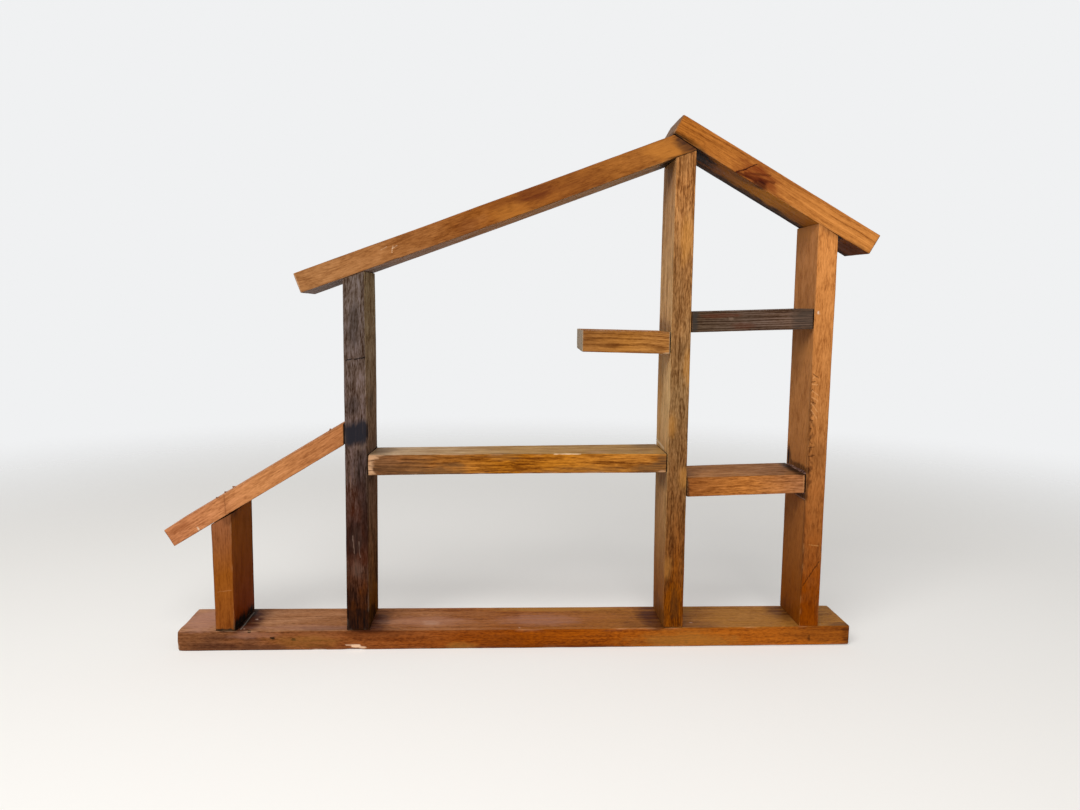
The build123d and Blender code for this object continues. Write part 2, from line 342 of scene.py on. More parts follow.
def lumpy_bead(name, node, corner, first_leg, second_leg, reach, material, seed):
    """A squeezed-out bead in an inside corner, in the place of its CAD node: a quarter round that wanders.

    Rows run from front to back. Each is the outline from the corner along the first leg, over the face and
    back along the second leg. The face's two distances from the corner are a power of the cosine and of the
    sine of an angle from 0 to 90 degrees. Their reach and that power wander along the bead, and the reach
    dies away at its two ends. First leg, second leg and the way to the back are a right-handed set.
    """
    depth, row_count, face_count = 50.0, 90, 15
    least_power, power_range = 1.6, 1.2
    least_reach, reach_range, bluntness = 0.4, 0.6, 9
    place = np.linspace(0, 1, row_count)[:, None]
    spot = in_a_row(0, depth, row_count)[:, None]
    angle = np.radians(np.linspace(0, 90, face_count))[None]
    bulge = least_power + power_range * wander(spot, (14, 1, 1), seed)
    face = np.stack([np.cos(angle) ** bulge, np.sin(angle) ** bulge], -1)
    legs = np.stack([wander(spot, (15, 1, 1), seed + 1), wander(spot, (11, 1, 1), seed + 2)], -1)
    dying = np.sqrt(np.clip(1 - np.abs(2 * place - 1) ** bluntness, 0, 1))[..., None]
    face = face * reach * (least_reach + reach_range * legs) * dying
    section = np.concatenate([np.zeros_like(face[:, :1]), face], axis=1)
    rows = (corner + section[..., :1] * first_leg + section[..., 1:] * second_leg
            + (place[..., None] - 0.5) * depth * ACROSS)
    piece = closed_mesh(name, rows, {})
    dress(piece, node, material)


# Materials

def colour(code):
    """Linear red, green, blue and alpha of an sRGB hex colour."""
    part = np.array([int(code[i:i + 2], 16) for i in (1, 3, 5)]) / 255
    linear = np.where(part <= 0.04045, part / 12.92, ((part + 0.055) / 1.055) ** 2.4)
    return (*linear.tolist(), 1.0)


def add(tree, kind, inputs, stops=(), **settings):
    """Adds a node. An input that is another node's output is linked, and any other is the socket's value.

    A node given as an input stands for its first output, and a hex code for its colour. Settings are the
    node's own options, and stops are the places and the colours or greys of a colour ramp.
    """
    node = tree.nodes.new("ShaderNode" + kind)
    for option, value in settings.items():
        setattr(node, option, value)
    for socket, value in inputs.items():
        if isinstance(value, bpy.types.Node):
            value = value.outputs[0]
        if isinstance(value, bpy.types.NodeSocket):
            tree.links.new(value, node.inputs[socket])
        else:
            node.inputs[socket].default_value = colour(value) if isinstance(value, str) else value
    for index, (place, shade) in enumerate(stops):
        element = node.color_ramp.elements[index] if index < 2 else node.color_ramp.elements.new(place)
        element.position = place
        if isinstance(shade, float):
            shade = (shade, shade, shade, 1.0)
        element.color = colour(shade) if isinstance(shade, str) else shade
    return node


def new_material(name):
    """A node material that is still empty."""
    material = bpy.data.materials.new(name)
    material.use_nodes = True
    material.node_tree.nodes.clear()
    return material


def wood(name, seed, length, tones, side_tones, tints, lines, *, contrast, ring, pith, fibre, streak,
         mottle, rim, wear, side_contrast=1.0, fleck_share=0.16, bend=9.0, pores=0.0, pore_shade="#432309",
         grime="#2a1a14", bare="#d9a878", end="#5c3a1e", sheen=0.02):
    """Solid wood under old varnish, drawn in the board's own axes so that the grain runs through all faces.

    Tones are the wood's mean colour from the board's first end to its last, and side tones those of a face
    with another finish, which on some tops is partly a painted sheen. The tone is darkened and lightened by a
    sum of patterns: growth rings, which are the fraction of the distance from the pith in ring widths,
    fibres, streaks, mottling and flecks. Ring is a width in mm and a share of that sum, and fibre, streak and
    mottle are a length, a width and a share.
    Contrast is the power that their light and dark are raised to, and side contrast is that on the other
    finish. Over the tone go pores as short dark dashes, the other finish, tints, grime along the edges,
    sawn end grain, rubbed edges and single lines.
    """
    ring_width, ring_share = ring
    *fibre_size, fibre_share = fibre
    *streak_size, streak_share = streak
    *mottle_size, mottle_share = mottle
    material = new_material(name)
    tree = material.node_tree
    grain = add(tree, "Attribute", {}, attribute_name="grain").outputs["Vector"]

    # Every board is cut from another part of the patterns
    start = (seed * 7.31, seed * 3.17, seed * 5.73)

    def grown(place, size, detail, roughness=0.62):
        """Noise whose hills have a length along the grain and a width across it."""
        scaled = add(tree, "VectorMath", {0: place, 1: (1 / size[0], 1 / size[1], 1 / size[1]), 2: start},
                     operation="MULTIPLY_ADD")
        return add(tree, "TexNoise", {"Vector": scaled, "Scale": 1.0, "Detail": detail,
                                      "Roughness": roughness})

    bow = (130, 26)
    drift = grown(grain, bow, 2.0, 0.5)
    bent = add(tree, "VectorMath", {0: drift.outputs["Color"], 1: (0, bend, bend), 2: grain},
               operation="MULTIPLY_ADD")

    # Rings that taper along the board, each from pale early wood to a dark late band
    taper = 0.02
    from_pith = add(tree, "VectorMath", {0: bent, 1: (taper, 1, 1), 2: (0, -pith[0], -pith[1])},
                    operation="MULTIPLY_ADD")
    radius = add(tree, "VectorMath", {0: from_pith}, operation="LENGTH")
    turns = add(tree, "Math", {0: radius.outputs["Value"], 1: 1 / ring_width}, operation="MULTIPLY")
    phase = add(tree, "Math", {0: turns}, operation="FRACT")
    bands = [(0.0, 0.25), (0.12, 0.0), (0.55, 0.3), (0.9, 1.0), (1.0, 0.25)]
    rings = add(tree, "ValToRGB", {"Fac": phase}, stops=bands)

    # Real fibres, flecks and pores are hundredths to tenths of a millimetre wide, too fine to show in the
    # picture, so all three are drawn about 0.7 to 1 mm wide
    fleck, pore_dash = (4.0, 1.0), (6, 0.8)
    fibres = grown(bent, fibre_size, 3.0)
    streaks = grown(bent, streak_size, 4.0)
    mottles = grown(grain, mottle_size, 4.0)
    flecks = grown(grain, fleck, 2.0)
    dashes = grown(bent, pore_dash, 1.0)

    # The noises keep near their middle, so they are spread, and their sum has its mean at 0.5
    spread, noise_mean, ring_mean = 4.0, 0.5, 0.36
    shares = (fibre_share, streak_share, mottle_share, fleck_share)
    rest = 0.5 - ring_mean * ring_share - noise_mean * spread * sum(shares)
    depth = add(tree, "Math", {0: rings, 1: ring_share, 2: rest}, operation="MULTIPLY_ADD")
    for pattern, share in zip((fibres, streaks, mottles, flecks), shares):
        depth = add(tree, "Math", {0: pattern, 1: spread * share, 2: depth}, operation="MULTIPLY_ADD")

    # The way come along the board, shifted by the mottling so that no tone ends on a straight line
    shift = 0.3
    came = add(tree, "SeparateXYZ", {"Vector": grain})
    uneven = add(tree, "Math", {0: mottles, 1: shift, 2: -shift / 2}, operation="MULTIPLY_ADD")
    way = add(tree, "Math", {0: came, 1: 1 / length, 2: uneven}, operation="MULTIPLY_ADD")

    def toned(shades, power):
        """The tones at even places along the board, lightened and darkened by the patterns to a power."""
        margin, lightest, darkest = 0.06, (1.32, 1.4, 1.55), (0.55, 0.46, 0.38)
        places = np.linspace(margin, 1 - margin, len(shades))
        tone = add(tree, "ValToRGB", {"Fac": way}, stops=zip(places, shades))
        light = (*np.power(lightest, power).tolist(), 1.0)
        dark = (*np.power(darkest, power).tolist(), 1.0)
        shading = add(tree, "ValToRGB", {"Fac": depth}, stops=[(0.15, light), (0.5, 1.0), (0.85, dark)])
        both = add(tree, "Mix", {MIX_FACTOR: 1.0, MIX_A: tone, MIX_B: shading}, data_type="RGBA",
                   blend_type="MULTIPLY")
        return both.outputs[MIX_RESULT]

    # How strong pores, tints along the streaks, grime and wear are, and how rough the varnish is: each goes
    # from its least to its most as a noise goes from one value to another
    ranges = ((dashes, 0.52, 0.66, 0.0, pores),
              (streaks, 0.35, 0.6, 0.65, 1.1),
              (mottles, 0.62, 0.38, 0.0, rim),
              (mottles, 0.5, 0.62, 0.0, wear),
              (mottles, 0.3, 0.7, 0.48, 0.64))
    pore, streaky, dirty, patchy, satin = [
        add(tree, "MapRange", {"Value": noise, "From Min": low, "From Max": high, "To Min": least,
                               "To Max": most}) for noise, low, high, least, most in ranges]
    sawn = 0.6

    # What lies over the tone, as shares and colours
    layers = [(pore, pore_shade)]
    if side_tones:
        other_face = add(tree, "Attribute", {}, attribute_name="side")
        layers.append((other_face.outputs["Fac"], toned(side_tones, side_contrast)))
    tint_layers = [(tint.name, streaky, tint.shade) for tint in tints]
    for field, most, shade in tint_layers + [("worn", dirty, grime), ("end_grain", sawn, end)]:
        held = add(tree, "Attribute", {}, attribute_name=field)
        share = add(tree, "Math", {0: held.outputs["Fac"], 1: most}, operation="MULTIPLY", use_clamp=True)
        layers.append((share, shade))
    edges = add(tree, "Attribute", {}, attribute_name="worn")
    rubbed = add(tree, "Math", {0: edges.outputs["Fac"], 1: patchy}, operation="MULTIPLY")
    layers.append((rubbed, bare))
    strayed = add(tree, "VectorMath", {0: dashes.outputs["Color"], 1: (STRAY, STRAY, STRAY), 2: grain},
                  operation="MULTIPLY_ADD")
    layers += [(near_line(tree, line, strayed), line.shade) for line in lines]
    finish = toned(tones, contrast)
    for share, shade in layers:
        layer = add(tree, "Mix", {MIX_FACTOR: share, MIX_A: finish, MIX_B: shade}, data_type="RGBA")
        finish = layer.outputs[MIX_RESULT]

    # Varnish gone satin with age, duller where it is rubbed through, with fibres and pores in low relief
    bare_dullness, pore_relief = 0.3, -1.5
    dull = add(tree, "Math", {0: rubbed, 1: bare_dullness, 2: satin}, operation="MULTIPLY_ADD")
    relief = add(tree, "Math", {0: pore, 1: pore_relief, 2: fibres}, operation="MULTIPLY_ADD")
    bump = add(tree, "Bump", {"Height": relief, "Strength": 0.25, "Distance": 0.3 * MM})
    shader = add(tree, "BsdfPrincipled", {"Base Color": finish, "Roughness": dull, "Normal": bump,
                                          "IOR": 1.5, "Specular IOR Level": sheen})
    add(tree, "OutputMaterial", {"Surface": shader})
    return material


def near_line(tree, line, place):
    """How strongly a crack or scratch shows at a place: full near the line's run, and gone at its width.

    The distance is from a place to the nearest point of the run, which is its start plus the part of the
    way that the place has come along it, held between the two ends. Places have strayed ahead of the true
    ones, by half the stray in the mean, so the start is moved as far.
    """
    core = 0.4
    begin = np.array(line.start) + STRAY / 2
    run = np.subtract(line.end, line.start)
    length = float(np.linalg.norm(run))
    way = tuple(run / length)
    offset = add(tree, "VectorMath", {0: place, 1: tuple(begin)}, operation="SUBTRACT")
    came = add(tree, "VectorMath", {0: offset, 1: way}, operation="DOT_PRODUCT")
    held = add(tree, "Clamp", {"Value": came.outputs["Value"], "Max": length})
    nearest = add(tree, "VectorMath", {0: way, "Scale": held}, operation="SCALE")
    gap = add(tree, "VectorMath", {0: offset, 1: nearest}, operation="DISTANCE")
    return add(tree, "MapRange", {"Value": gap.outputs["Value"], "From Min": line.width,
                                  "From Max": line.width * core, "To Max": line.strength})


def set_adhesive(name, shades):
    """Construction adhesive, squeezed out and set: dark, lumpy and dull, paler where dust clings to it. In
    the brown kind the pale patches are a painted highlight.
    """
    lump = 2.5 * MM
    material = new_material(name)
    tree = material.node_tree
    place = add(tree, "TexCoord", {}).outputs["Object"]
    lumps = add(tree, "TexNoise", {"Vector": place, "Scale": 1 / lump, "Detail": 3.0})
    tone = add(tree, "ValToRGB", {"Fac": lumps}, stops=zip((0.35, 0.62, 0.8), shades))
    bump = add(tree, "Bump", {"Height": lumps, "Strength": 0.3, "Distance": 0.3 * MM})
    shader = add(tree, "BsdfPrincipled", {"Base Color": tone, "Roughness": 0.5, "Normal": bump,
                                          "Specular IOR Level": 0.0})
    add(tree, "OutputMaterial", {"Surface": shader})
    return material


def darkened_steel():
    """Drawn steel brads, tarnished and varnished over: dull brown, with small spots that still shine."""
    spot = 0.8 * MM
    material = new_material("darkened_steel")
    tree = material.node_tree
    place = add(tree, "TexCoord", {}).outputs["Object"]
    spots = add(tree, "TexNoise", {"Vector": place, "Scale": 1 / spot, "Detail": 2.0})
    stops = [(0.35, "#6e4424"), (0.6, "#8f5c34"), (0.75, "#a8794f")]
    tone = add(tree, "ValToRGB", {"Fac": spots}, stops=stops)
    bare_metal = add(tree, "MapRange", {"Value": spots, "From Min": 0.6, "From Max": 0.9})
    gloss = add(tree, "MapRange", {"Value": spots, "From Min": 0.3, "From Max": 0.7, "To Min": 0.7,
                                   "To Max": 0.4})
    shader = add(tree, "BsdfPrincipled", {"Base Color": tone, "Metallic": bare_metal, "Roughness": gloss})
    add(tree, "OutputMaterial", {"Surface": shader})
    return material


# Roof boards. Shellacked pine: old orange shellac gives an amber glow, close fine grain and darker edges

worn_board(
    "left_roof", "amber_wood", "shellacked_pine", seed=1, side="under",
    tones=("#9e6b3f", "#884d1a", "#975c26"), side_tones=("#8f7a70", "#a16b35", "#a17a4c"), contrast=1.0,
    ring=(3.4, 0.04), pith=(60, -30), fibre=(10, 0.8, 0.28), streak=(60, 5, 0.06), mottle=(24, 11, 0.26),
    grime="#4a2413", rim=0.8, wear=0.15,
    tints=[
        Tint("golden_patch_and_light", "#c07a32", [
            Mark((187, 0, 4), (15, 8, 9), 0.5, 1.0), Mark((327, 0, 9), (13, 8, 12), 0.5, 1.0)]),
        Tint("red_stain", "#5a2612", [
            Mark((214, 0, 12), (18, 8, 6), 0.7, 1.0), Mark((185, 0, 14), (14, 8, 3.5), 0.35),
            Mark((151, 0, 6), (9, 8, 6), 0.3), Mark((244, 0, 10), (26, 8, 12), 0.35, 1.0)]),
        Tint("adhesive", "#33201b", [
            Mark((346, 0, 5.5), (7.5, 8, 7), 0.75, 0.9), Mark((347, 0, 10), (4.5, 8, 6), 0.95, 1.0)]),
        # Painted shade on the under side, beside the tops of the centre post and of the left post
        Tint("painted_shade", "#160c07", [
            Mark((329, 26, 0), (11, 40, 2.5), 0.9, 0.6), Mark((60, 38, 0), (14, 20, 2), 0.45, 1.0)]),
        Tint("scuff", "#dcb590", [Mark((0, 0, 8.4), (1.2, 3, 12), 0.5)]),
    ],
    lines=[
        Line((83.1, 0, 6.4), (87.1, 0, 11.4), 0.5, "#e2bd98", 0.6),
        Line((76.1, 0, 11.4), (82.1, 0, 12.4), 0.5, "#e2bd98", 0.4),
        Line((85.1, 0, 9.4), (90.1, 0, 10.4), 0.5, "#e2bd98", 0.4)],
    chips=[Mark((80.1, 0, 0), (5, 2, 2), 1.3), Mark((297.1, 0, 17.4), (3, 3, 2), 0.8)],
    fit=(0, -0.9),
    warp=Warp(front_under=(0.6, -0.6, 0), front_upper=(0.2, 0, 0.5), back_under=(0.4, -0.2, 0)),
)

worn_board(
    "right_roof", "amber_wood", "shellacked_pine", seed=2, side="under",
    tones=("#a46123", "#ad6a2f", "#c17a39"), side_tones=("#642301", "#d18529", "#8c480b"), contrast=1.2,
    side_contrast=0.9, ring=(2.6, 0.2), pith=(55, -20), fibre=(70, 0.7, 0.25), streak=(150, 2.5, 0.18),
    mottle=(34, 14, 0.12), grime="#4a1a0d", rim=0.7, wear=0.15, end="#6b5a4c",
    tints=[
        Tint("knot_rim", "#6e2a10", [Mark((81.2, 0, 6.5), (19, 9, 9), 0.8, 1.0)]),
        Tint("knot_heart", "#35110a", [Mark((86.8, 0, 3), (6, 8, 3.5), 0.95)]),
        # Painted shade: the under side darkened by the ridge, beside the right post and along its back, and
        # the front's lower edge by the ridge
        Tint("painted_shade", "#1f0d00", [
            Mark((102, 54, 0), (150, 18, 3), 0.95), Mark((15, 0, 1.5), (14, 8, 3), 0.6),
            Mark((0, 20, 0), (40, 40, 3), 1.0), Mark((190, 30, 0), (16, 40, 3), 0.5),
            Mark((169, 19, 0), (6, 19, 1.2), 1.4), Mark((72, 8, 0), (14, 7, 1.2), 0.45),
            Mark((10, 13, 0), (32, 11, 1.2), 1.3)]),
        Tint("weathered_end", "#8a5f3c", [Mark((0, 26, 9), (1.4, 60, 16), 1.1)]),
    ],
    lines=[
        Line((63.7, 0, 1), (69.2, 0, 6.5), 1.0, "#35120a", 0.95),
        Line((69.2, 0, 6.5), (75.2, 0, 14.5), 0.8, "#35120a", 0.9),
        Line((63.7, 0, 1), (82.2, 0, 3), 1.4, "#451609", 0.8),
        Line((70.2, 0, 3.5), (90.2, 0, 12.5), 1.4, "#4a180a", 0.6),
        Line((72.2, 0, 2.5), (96.2, 0, 9), 1.6, "#4a180a", 0.6)],
    chips=[Mark((0, 0, 0), (8, 60, 6), 2.5), Mark((0, 0, 18), (3, 60, 3), 0.5)],
    warp=Warp(front_under=(-0.2, -0.8, -0.4), back_under=(0.5, 0.7, 0.8)),
)

worn_board(
    "lean_to_roof", "amber_wood", "shellacked_pine", seed=3,
    tones=("#bd794e", "#c2814e", "#a96b3e"), contrast=0.85, ring=(4.2, 0.06), pith=(90, -60),
    fibre=(12, 0.9, 0.36), streak=(60, 3, 0.1), mottle=(26, 4, 0.14), fleck_share=0.22, grime="#6a3a20",
    rim=0.7, wear=0.2,
    tints=[
        Tint("raw_wood", "#ecd2b6", [Mark((26.4, 0, 2), (0.9, 1.5, 2), 0.95, 0.4)]),
        Tint("red_stain", "#8a4a24", [
            Mark((13.4, 0, 11), (9, 5, 2.5), 0.5), Mark((56.4, 0, 9), (4, 5, 9), 0.25)]),
    ],
    lines=[Line((53.9, 0, 0), (59.4, 0, 17), 0.8, "#86502e", 0.6)],
    chips=[Mark((26.4, 0, 0), (1.5, 1.5, 2), 1.2)],
    fit=(0, -0.5),
)

# Posts, with feet that are darker and redder than their tops: partly the wood's tone, partly painted shade
# of the dimmer light near the floor. The outer two are shellacked pine as well

worn_board(
    "lean_to_post", "amber_wood", "shellacked_pine", seed=4, side="under",
    tones=("#8c4c1a", "#8d4d15", "#905734"), side_tones=("#833300", "#985001"), contrast=0.9,
    side_contrast=0.8, ring=(3.6, 0.08), pith=(80, 40), fibre=(16, 0.8, 0.22), streak=(150, 4.5, 0.12),
    mottle=(34, 14, 0.25), grime="#3d2318", rim=0.6, wear=0.25,
    tints=[
        Tint("shade_stain", "#40200e", [Mark((101, 0, 3), (8, 20, 6), 0.5)]),
        # Painted shade along the back edge of the right side
        Tint("painted_shade", "#1c0d05", [Mark((55, 54, 0), (60, 3.5, 3), 0.9, 0.5)]),
        Tint("adhesive", "#120b08", [
            Mark((0, 0, 9), (2.0, 30, 20), 1.0, 0.5), Mark((0, 40, 0), (6, 16, 3), 1.1, 1.0, 0.6),
            Mark((0, 14, 0), (8, 24, 2), 1.1, 1.0, 0.6)]),
    ],
    lines=[Line((36, 0, 2), (37, 0, 15), 0.5, "#b47a4a", 0.5)],
    fit=(0, (1.2, 0)),
    warp=Warp(front_upper=(-0.85, -0.6, 0), back_under=(-1.85, -2.05, -2.5), back_upper=(-1.85, -2.05, -2.5)),
)

# Dark-stained oak: nearly black and dull, with paler fibres where the stain is worn through
worn_board(
    "left_post", "dark_wood", "dark_stained_oak", seed=5, side="under",
    tones=("#411d06", "#57433a", "#5c4d43"), side_tones=("#6d4114", "#7f6450", "#99815f"), contrast=1.8,
    side_contrast=1.9, ring=(2.6, 0.06), pith=(40, 60), fibre=(9, 0.9, 0.46), streak=(50, 2.4, 0.2),
    mottle=(18, 6, 0.28), fleck_share=0.26, grime="#1c100b", rim=0.4, wear=0.35, bare="#8a7160", sheen=0.0,
    tints=[
        Tint("red_stain", "#401808", [
            Mark((86, 0, 9), (26, 8, 20), 0.55), Mark((118, 0, 8), (18, 8, 20), 0.4)]),
        Tint("scuff", "#8f7668", [
            Mark((163, 0, 5), (3, 2, 5), 0.3), Mark((82, 0, 11), (11, 3, 5), 0.1),
            Mark((219, 0, 4), (14, 6, 6), 0.1, 1.0), Mark((56, 0, 9), (8, 4, 4), 0.15, 1.0)]),
        Tint("adhesive", "#131010", [
            Mark((0, 0, 9), (20, 40, 60), 0.7, 0.2, 0.1), Mark((84, 0, 12), (16, 6, 9), 0.6, 1.0),
            Mark((112, 0, 1.5), (34, 6, 4.5), 0.55, 1.0), Mark((142, 0, 4), (24, 6, 7), 0.6, 1.0),
            Mark((26, 0, 15), (12, 6, 6), 0.55, 1.0), Mark((24, 0, 3), (10, 6, 5), 0.35, 1.0),
            Mark((136, 14, 0), (9, 20, 2), 0.5, 1.0), Mark((200, 24, 0), (9, 12, 2), 0.4, 1.0),
            Mark((268, 0, 10), (19, 6, 6), 0.45, 1.0), Mark((48, 50, 0), (22, 14, 3), 0.5),
            Mark((200, 0, 12), (8, 6, 6), 0.45, 1.0)]),
        Tint("black_smear", "#28262b", [Mark((176, 0, 10), (9.5, 8, 30), 1.25, 0.8, 0.7)]),
    ],
    lines=[
        Line((241, 0, 16.6), (241, 0, 12), 0.7, "#0e0b0b", 1.0),
        Line((240, 0, 9.5), (239, 0, 0.5), 0.7, "#0e0b0b", 1.0),
        Line((70, 0, 12), (86, 0, 13), 0.5, "#8f7668", 0.4),
        Line((66, 0, 7), (80, 0, 8), 0.5, "#8f7668", 0.4),
        Line((126, 0, 14), (140, 0, 14.5), 0.5, "#8a6a58", 0.4),
        Line((134, 0, 11), (146, 0, 11), 0.5, "#8a6a58", 0.3)],
    warp=Warp(front_upper=(0.85, 0, -0.6), back_under=(0, -1.1, -1.15)),
)

# Open-pored oak: golden brown and streaky, with dark dashes where dirt fills its pores
worn_board(
    "centre_post", "golden_wood", "open_pored_oak", seed=6, side="upper",
    tones=("#753a03", "#86623b", "#a9703c"), side_tones=("#8e531c", "#d3a970", "#bd8a56"), contrast=1.5,
    side_contrast=0.95, ring=(2.4, 0.1), pith=(45, 50), fibre=(14, 0.8, 0.44), streak=(40, 2.0, 0.24),
    mottle=(46, 7, 0.3), fleck_share=0.26, pores=0.4, rim=0.3, wear=0.4, bare="#c69254",
    tints=[
        Tint("golden_heart", "#cf8f45", [
            Mark((345, 0, 6), (18, 6, 5), 0.45, 1.0), Mark((232, 0, 2), (16, 6, 4), 0.4, 1.0),
            Mark((212, 46, 17.5), (34, 12, 2), 0.55, 1.0), Mark((136, 0, 3), (10, 6, 4), 0.4, 1.0),
            Mark((184, 0, 15), (10, 6, 4), 0.4, 1.0), Mark((56, 0, 15), (9, 6, 4), 0.3, 1.0)]),
        # Dark patches in the front are the wood's; those on the left side by the base, under the main floor,
        # under the stub shelf and under the roof are painted shade
        Tint("dark_heart_and_shade", "#4a2b12", [
            Mark((294, 0, 12), (22, 6, 5), 0.25, 1.0), Mark((410, 0, 11), (12, 6, 7), 0.4, 1.0),
            Mark((24, 0, 8), (16, 6, 4), 0.55), Mark((328, 0, 15), (18, 6, 4), 0.35, 1.0),
            Mark((248, 0, 9), (10, 6, 4), 0.4, 1.0), Mark((406, 26, 17.5), (9, 14, 2), 0.5, 1.0),
            Mark((4, 14, 17.5), (16, 30, 2), 0.5, 1.0), Mark((134, 16, 17.5), (8, 40, 2), 0.45, 1.0),
            Mark((269, 32, 17.5), (9, 30, 2), 0.6, 1.0)]),
    ],
    lines=[
        Line((34, 0, 11), (50, 0, 10), 0.6, "#2e1606", 0.7),
        Line((164.5, 51, 17.5), (162, 18, 17.5), 1.8, "#dcc5a0", 0.8)],
    warp=Warp(front_under=(-0.8, 0, 0), back_upper=(-0.7, 0.6, 0)),
)

# Shellacked pine with a nicked front edge
worn_board(
    "right_post", "amber_wood", "shellacked_pine", seed=7, side="upper",
    tones=("#843c01", "#af703a", "#ce8545"), side_tones=("#8b4908", "#b97940", "#bd7c45"), contrast=0.9,
    side_contrast=0.7, ring=(3.2, 0.05), pith=(75, 30), fibre=(7, 0.9, 0.34), streak=(150, 4.5, 0.06),
    mottle=(20, 9, 0.3), grime="#4a2812", rim=0.4, wear=0.35, bare="#d79a5e",
    tints=[
        # Dents and dark wear along the front edge; the darkening at the front's top end under the roof and at
        # the left side's foot is painted shade
        Tint("worn_arris_and_shade", "#4a2510", [
            *specks(128, 206, 60, 17.3, 5.0, 0.75, seed=21), Mark((142, 0, 17.5), (28, 3, 2.4), 0.6),
            Mark((195, 0, 17.5), (36, 3, 1.6), 0.5), Mark((85, 0, 17.5), (50, 3, 1.4), 0.6),
            Mark((160, 0, 8), (12, 4, 5), 0.35), Mark((358, 0, 9), (7, 5, 16), 0.45, 1.0),
            Mark((2, 34, 17.5), (10, 20, 2), 0.4, 1.0)]),
        Tint("adhesive", "#1d100b", [
            Mark((146, 47, 17.5), (10, 5, 2), 0.9), Mark((142, 22, 17.5), (3, 40, 2), 0.7),
            Mark((119, 16, 17.5), (4.2, 26, 2), 0.85), Mark((124, 0, 17), (9, 2.5, 1.6), 0.6)]),
        # Golden patches; the one at the top of the left side is painted light, lifting the shade under the
        # roof
        Tint("golden_patch_and_light", "#cf8a4a", [
            Mark((353, 34, 17.5), (10, 30, 2), 0.85, 1.0), Mark((246, 28, 17.5), (9, 24, 2), 0.6, 1.0)]),
        Tint("raw_wood", "#ecd2b6", [Mark((281, 0, 14), (1.1, 1.5, 1.1), 0.9)]),
    ],
    lines=[
        *nicks(146, 228, 11, 17.4, "#3f1c0a", 0.7, seed=7), *nicks(196, 224, 6, 16, "#e0a46c", 0.5, seed=9),
        Line((62, 0, 2), (38, 0, 16), 0.7, "#4a230a", 0.8),
        Line((76, 0, 12), (76, 0, 4), 0.5, "#cf9556", 0.6),
        # A painted highlight: the pale line on the rim of the adhesive under the lower shelf
        Line((115.4, 26, 17.5), (115.8, 2, 17.5), 0.6, "#a98a7c", 0.6)],
    chips=[Mark((281, 0, 14), (1.5, 1.5, 1.5), 0.8), Mark((180, 0, 17), (50, 1.5, 2), 0.8)],
    fit=(0, (0.9, 0)), warp=Warp(front_under=(0, 0, -0.4)),
)

# Shelves, whose ends press into the adhesive, which leaves thin dark seams

# Streaked pine: gold, with strong brown streaks of late wood
worn_board(
    "main_floor", "golden_wood", "streaked_pine", seed=8, side="upper",
    # The top's pale grey-tan side tones are partly the wood's colour and partly a painted sheen
    tones=("#7b4d2a", "#a76414", "#a66726"), side_tones=("#b49470", "#aa8047", "#9d7742"), contrast=1.8,
    side_contrast=1.2, ring=(2.2, 0.12), pith=(50, -30), fibre=(22, 0.8, 0.44), streak=(60, 2.0, 0.28),
    mottle=(30, 6, 0.22), bend=5.0, grime="#3f2614", rim=0.45, wear=0.5, bare="#e0b58c",
    tints=[
        Tint("grey_stain", "#55402c", [
            Mark((20, 0, 5), (40, 8, 9), 0.4), Mark((248, 0, 3), (20, 8, 6), 0.6),
            Mark((259, 0, 8), (7, 8, 9), 0.6, 1.0), Mark((250, 42, 17), (14, 14, 1.5), 0.5, 1.0),
            Mark((75, 0, 8), (9, 5, 2.5), 0.5), Mark((54, 0, 1), (32, 8, 5), 0.7, 1.0),
            Mark((190, 0, 1), (44, 8, 5), 0.4, 1.0), Mark((3, 18, 17), (14, 36, 1.5), 0.6, 1.0),
            Mark((118, 0, 15), (12, 8, 4), 0.4, 1.0)]),
        Tint("raw_wood", "#d0a27a", [
            Mark((0, 0, 15), (7, 3, 3.5), 0.85, 0.5, 1.6), Mark((0, 0, 9), (3.5, 3, 6), 0.8, 0.5, 1.6),
            Mark((0, 0, 2.5), (5.5, 3, 3.5), 0.85, 0.5, 1.6), Mark((8, 0, 16.7), (6, 2, 1.2), 0.6),
            Mark((256, 0, 1), (3, 2, 1.2), 0.6), Mark((200, 8, 18), (12, 10, 1.5), 0.3, 1.0)]),
    ],
    lines=[
        Line((0, 0, 4), (6, 0, 4.5), 0.7, "#54341f", 0.85), Line((0, 0, 8), (4, 0, 8), 0.6, "#54341f", 0.75),
        Line((0, 0, 12), (5, 0, 12.5), 0.7, "#54341f", 0.85),
        # A painted highlight: the pale line along the upper front edge
        Line((161, 0.2, 16.7), (184, 0.2, 16.7), 0.6, "#f0d2ac", 0.8)],
    chips=[Mark((0, 0, 17), (4, 4, 3), 0.6), Mark((0, 0, 0), (3, 4, 3), 0.3)],
    fit=(-0.5, -0.5), warp=Warp((-0.6, 0, -0.1), (0.6, 0.8, 0), (-1.6, -0.9, 0), (-1.6, -0.9, 0)),
)

worn_board(
    "stub_shelf", "golden_wood", "streaked_pine", seed=9,
    tones=("#885627", "#986128", "#a26b34"), contrast=1.4, ring=(2.6, 0.3), pith=(40, -15),
    fibre=(26, 0.8, 0.3), streak=(150, 4.5, 0.2), mottle=(34, 14, 0.18), grime="#4d260b", rim=0.4, wear=0.3,
    end="#b5ad98", bare="#c9a27a",
    tints=[
        Tint("late_wood", "#5a2e0e", [Mark((23, 0, 6), (11, 6, 2), 0.7), Mark((68, 0, 4), (5, 6, 2), 0.6)]),
        Tint("pale_glue", "#c9a987", [Mark((74, 0, 0), (3, 2, 1.2), 0.8)]),
    ],
    chips=[Mark((0, 53, 0), (6, 30, 6), 1.5)],
    fit=(0, -0.5),
)

